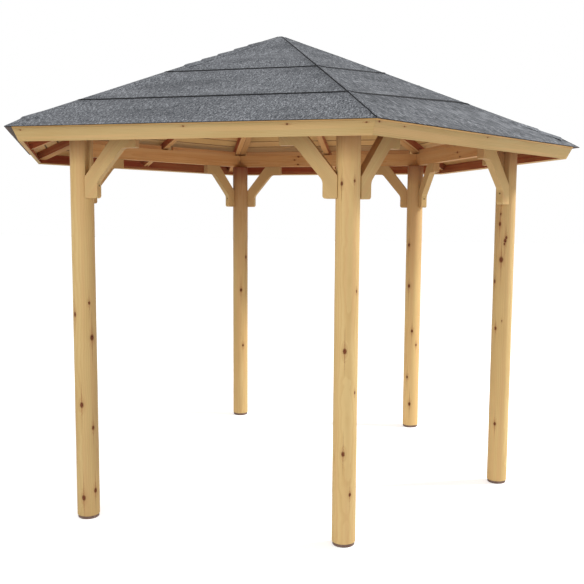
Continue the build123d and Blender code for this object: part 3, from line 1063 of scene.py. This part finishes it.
# How high the fold stands over the line of the hip, and how wide it is for its height
FOLD_RISES = [(0.0, 0.001), (0.040, 0.001), (0.500, 0.008), (0.900, 0.011), (1.820, 0.0125),
              (1.930, 0.001)]
FOLD_SPREAD = 6.5
felt_apex = roof_peak + FELT_TOP / SLOPE_COS
hip_tan = SLOPE_SIN / SLOPE_COS * cos(SIDE_TURN / 2)
hip_cos = 1 / (1 + hip_tan ** 2) ** 0.5
hip_sin = hip_tan * hip_cos
side_fall = SLOPE_SIN / SLOPE_COS * sin(SIDE_TURN / 2) * hip_cos


def fold_surface(distance, sideways):
    """Height of the felt beside a hip, over the line of the hip."""
    rise = between(FOLD_RISES, distance)
    spread = rise * FOLD_SPREAD
    beside = abs(sideways)
    return max(rise - (rise + spread * side_fall) * beside / spread, -beside * side_fall)


def on_hip(azimuth, distance, sideways, rise):
    """A point of a hip: out from the centre, to one side, and square up from the line of the hip."""
    outward = distance + rise * hip_sin
    return (
        outward * cos(azimuth) - sideways * sin(azimuth),
        outward * sin(azimuth) + sideways * cos(azimuth),
        felt_apex - distance * hip_tan + rise * hip_cos,
    )


def tongue_rise(name, distance):
    """How high the tongues lift the line of a hip."""
    for step in HIP_STEPS[name]:
        if step - TONGUE_LENGTH < distance <= step:
            return TONGUE_RISE * (distance - step + TONGUE_LENGTH) / TONGUE_LENGTH
        if step < distance < step + TONGUE_END:
            return TONGUE_RISE * (step + TONGUE_END - distance) / TONGUE_END
    return 0.0


def make_hip_tongues():
    """Every tongue as a closed wedge that follows the fold beneath it."""
    points = []
    faces = []
    grain = []
    for index, name in enumerate(POST_NAMES):
        azimuth = SIDE_TURN * index
        for step in HIP_STEPS[name]:
            base = len(points)
            stations = [(step - TONGUE_LENGTH, TONGUE_FLUSH, TONGUE_FLUSH),
                        (step, TONGUE_RISE, TONGUE_EDGE),
                        (step + TONGUE_END, TONGUE_FLUSH, TONGUE_FLUSH)]
            for distance, rise, edge in stations:
                spread = min(between(FOLD_RISES, distance) * FOLD_SPREAD, TONGUE_BEND)
                section = [(sideways, rise + (edge - rise) * abs(sideways) / TONGUE_WIDTH)
                           for sideways in (-TONGUE_WIDTH, -spread, 0, spread, TONGUE_WIDTH)]
                section += [(sideways, TONGUE_SUNK) for sideways in (TONGUE_WIDTH, 0, -TONGUE_WIDTH)]
                for sideways, lift in section:
                    height = fold_surface(distance, sideways) + lift
                    points.append(on_hip(azimuth, distance, sideways, height))
                    grain.append((sideways + TONGUE_STEP * index, distance, min(lift, 0)))
            closed_run(faces, base, len(section), len(stations))
    piece = new_piece("hip_tongues", points, faces)
    carry_grain(piece, grain, [0.0] * len(points))
    piece.data.materials.append(felt)
    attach(piece, "root")


make_hip_tongues()

# Bitumen. The laps are glued with hot bitumen, which has run out as a black bead below each course
# and along the cut edge on every hip. At the eaves the felt's black edge is turned down the boards.
BEAD_WIDTH = 0.017
BEAD_OVER = 0.0012
BEAD_FOOT = BEAD_OVER / 4
BEAD_SUNK = 0.001
BEAD_BACK = 0.0005
BEAD_CREST = 0.0025
BEAD_THINS = 0.75 * BEAD_WIDTH
HIP_BEAD_WIDTH = 0.0065
HIP_BEAD_SHOULDER = 0.002
HIP_BEAD_HEIGHT = 0.0016
HIP_BEAD_FOOT = 0.0003
HIP_BEAD_START = 0.028
HIP_BEAD_END = 1.931
TURNDOWN = 0.0025
TURNDOWN_DEPTH = 0.008
TURNDOWN_OVER = 0.0002
TURNDOWN_SUNK = 0.0005
BITUMEN_SHINE = 0.08
BITUMEN_LUMPS = 0.0008

# How far the cut edge lies beside each hip: distance from the centre, then the offset
CUT_EDGE = [(0.0, 0.0), (0.300, 0.004), (0.500, 0.0065), (0.900, 0.009), (1.470, 0.010),
            (1.790, 0.014), (1.880, 0.010), (1.931, 0.004)]

# The side of each hip that the cut edge lies on, seen from the centre: 1 is the left
CUT_HANDS = {"right": 1, "back_right": 1, "back_left": 1, "left": -1, "front_left": -1,
             "front_right": -1}


def bitumen_finish():
    finish = Finish("bitumen")
    finish.shader.inputs["Specular IOR Level"].default_value = BITUMEN_SHINE
    at = finish.place()
    dull = finish.ramp(finish.noise(at, 45, 4), 0.35, 0.70)
    colour = finish.mix(finish.maths("MULTIPLY", dull, 0.35), BITUMEN, SLATE_DARK)
    lumps = finish.bump(finish.noise(at, 320, 3), BITUMEN_LUMPS)
    return finish.done(colour, finish.ramp(dull, 0, 1, 0.65, 0.9), lumps)


bitumen = bitumen_finish()


def bitumen_piece(name, runs):
    """One piece of closed runs. A run is a list of sections, and a section is a list of points."""
    points = []
    faces = []
    for run in runs:
        closed_run(faces, len(points), len(run[0]), len(run))
        for section in run:
            points += section
    piece = new_piece(name, points, faces)
    piece.data.materials.append(bitumen)
    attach(piece, "root")


# The bead is the felt's black edge made wide so that it also stands for the painted shadow under each
# lap
def lap_bead(side, edge):
    """The bead below one course: flat on the felt, then up and over the fold at either hip."""
    down = course_downs[COURSE_EDGES.index(edge)]
    reach = hip_along(down, FELT_TOP)
    fold = between(FOLD_RISES, edge / cos(SIDE_TURN / 2))
    spread = fold * FOLD_SPREAD / cos(SIDE_TURN / 2)
    buried = spread * (1 - FELT_THICKNESS / fold)
    run = []
    for along, lift in ((-reach, fold), (buried - reach, FELT_THICKNESS), (spread - reach, 0),
                        (reach - spread, 0), (reach - buried, FELT_THICKNESS), (reach, fold)):
        top = max(lift + BEAD_OVER, FELT_THICKNESS + BEAD_FOOT)
        foot = lift + BEAD_FOOT
        section = [
            (down - BEAD_SUNK, lift - BEAD_SUNK),
            (down - BEAD_BACK, top),
            (down + BEAD_CREST, top),
            (down + BEAD_THINS, (top + foot) / 2),
            (down + BEAD_WIDTH, foot),
            (down + BEAD_WIDTH, lift - BEAD_SUNK),
        ]
        run.append([felt_laid(side, at, along, FELT_TOP + up) for at, up in section])
    return run


def hip_bead(index, name):
    """The bead along the cut edge beside one hip."""
    azimuth = SIDE_TURN * index
    hand = CUT_HANDS[name]
    distances = {HIP_BEAD_START, HIP_BEAD_END}
    for distance, _ in FOLD_RISES + CUT_EDGE:
        if HIP_BEAD_START < distance < HIP_BEAD_END:
            distances.add(distance)
    for step in HIP_STEPS[name]:
        distances |= {step - TONGUE_LENGTH, step, step + TONGUE_END}
    half = HIP_BEAD_WIDTH / 2
    section = [
        (-half, -BEAD_SUNK),
        (-half, HIP_BEAD_FOOT),
        (HIP_BEAD_SHOULDER - half, HIP_BEAD_HEIGHT),
        (half - HIP_BEAD_SHOULDER, HIP_BEAD_HEIGHT),
        (half, HIP_BEAD_FOOT),
        (half, -BEAD_SUNK),
    ]
    run = []
    for distance in sorted(distances):
        middle = between(CUT_EDGE, distance)
        lift = tongue_rise(name, distance)
        run.append([on_hip(azimuth, distance, hand * (middle + beside),
                           fold_surface(distance, middle + beside) + lift + up)
                    for beside, up in section[::hand]])
    return run


def turned_edge(side):
    """The felt's edge where it is turned down over the outer edge of the roof boards."""
    foot = BOARD_THICKNESS - TURNDOWN_DEPTH
    head = BOARD_THICKNESS + TURNDOWN_OVER
    section = [(eave_run - TURNDOWN_SUNK, foot), (eave_run + TURNDOWN, foot),
               (eave_run + TURNDOWN, head), (eave_run - TURNDOWN_SUNK, head)]
    return [[on_roof(side, down, hand * hip_along(down, up), up) for down, up in section]
            for hand in (-1, 1)]


bitumen_piece("lap_beads", [lap_bead(side, edge) for side in range(SIDES) for edge in COURSE_EDGES])
bitumen_piece("hip_beads", [hip_bead(index, name) for index, name in enumerate(POST_NAMES)])
bitumen_piece("turned_edges", [turned_edge(side) for side in range(SIDES)])

# Stage. A pale matt floor and a white background. The floor glows a little to the camera only, so
# that it comes out as pale as the background and still keeps the gazebo's shadow.
FLOOR_REACH = 60
FLOOR_COLOUR = (0.80, 0.80, 0.80, 1)
FLOOR_ROUGHNESS = 0.9
FLOOR_GLOW = 0.55
SKY_LIGHT = 0.66
WHITE = (1, 1, 1, 1)

floor_corners = [(x * FLOOR_REACH, y * FLOOR_REACH, 0) for x, y in ((-1, -1), (1, -1), (1, 1), (-1, 1))]
floor = new_piece("floor", floor_corners, [(0, 1, 2, 3)])
floor_finish = Finish("pale_floor")
floor_finish.done(FLOOR_COLOUR, FLOOR_ROUGHNESS)
glow = floor_finish.maths("MULTIPLY", floor_finish.node("ShaderNodeLightPath"), FLOOR_GLOW)
floor_finish.set(floor_finish.shader.inputs["Emission Color"], WHITE)
floor_finish.set(floor_finish.shader.inputs["Emission Strength"], glow)
floor.data.materials.append(floor_finish.material)

world = bpy.data.worlds.new("studio")
bpy.context.scene.world = world
world.use_nodes = True
sky_tree = world.node_tree
sky = sky_tree.nodes["Background"]
sky.inputs["Color"].default_value = WHITE
paths = sky_tree.nodes.new("ShaderNodeLightPath")
seen = sky_tree.nodes.new("ShaderNodeMath")
seen.operation = "MAXIMUM"
sky_tree.links.new(paths.outputs["Is Camera Ray"], seen.inputs[0])
sky_tree.links.new(paths.outputs["Is Glossy Ray"], seen.inputs[1])
level = sky_tree.nodes.new("ShaderNodeMapRange")
sky_tree.links.new(seen.outputs[0], level.inputs[0])
level.inputs[3].default_value = SKY_LIGHT
level.inputs[4].default_value = 1.0
sky_tree.links.new(level.outputs[0], sky.inputs["Strength"])

# Lamps. A large soft one stands to the front left, low enough to reach in under the eaves. A small
# strong one to the right and a little behind edges the posts and the roof as the sun does.


def lamp(name, place, target, size, power):
    """A soft square lamp that faces a point."""
    light = bpy.data.lights.new(name, "AREA")
    light.size = size
    light.energy = power
    holder = bpy.data.objects.new(name, light)
    bpy.context.scene.collection.objects.link(holder)
    holder.location = place
    holder.rotation_euler = (Vector(target) - Vector(place)).to_track_quat("-Z", "Y").to_euler()


lamp("key", place=(-2.4, -8.8, 3.2), target=(0, 0, 1.3), size=4.0, power=225)
lamp("low_sun", place=(6.9, 2.3, 6.3), target=(0.4, 0.1, 0.5), size=1.1, power=700)

# Camera. It stands where the photograph was taken from, at the height of a standing person's eyes,
# and looks a little down. Its lens is shifted as the photograph was cropped.
CAMERA_PLACE = (1.62485, -5.38003, 1.70537)
CAMERA_YAW = radians(104.4437)
CAMERA_PITCH = radians(-6.0135)
CAMERA_ROLL = radians(0.5085)
CAMERA_LENS = 50.25
CAMERA_SHIFT = (-0.0364, 0.0241)

ahead = Vector((cos(CAMERA_YAW), sin(CAMERA_YAW), 0)) * cos(CAMERA_PITCH)
ahead.z = sin(CAMERA_PITCH)
level_right = Vector((sin(CAMERA_YAW), -cos(CAMERA_YAW), 0))
level_up = level_right.cross(ahead)
right = level_right * cos(CAMERA_ROLL) + level_up * sin(CAMERA_ROLL)
up = level_up * cos(CAMERA_ROLL) - level_right * sin(CAMERA_ROLL)
camera_data = bpy.data.cameras.new("camera")
camera_data.lens = CAMERA_LENS
camera_data.shift_x = CAMERA_SHIFT[0]
camera_data.shift_y = CAMERA_SHIFT[1]
camera = bpy.data.objects.new("camera", camera_data)
bpy.context.scene.collection.objects.link(camera)
turned = Matrix((right, up, -ahead)).transposed().to_4x4()
camera.matrix_world = Matrix.Translation(CAMERA_PLACE) @ turned
bpy.context.scene.camera = camera
bpy.context.scene.view_settings.view_transform = "Standard"
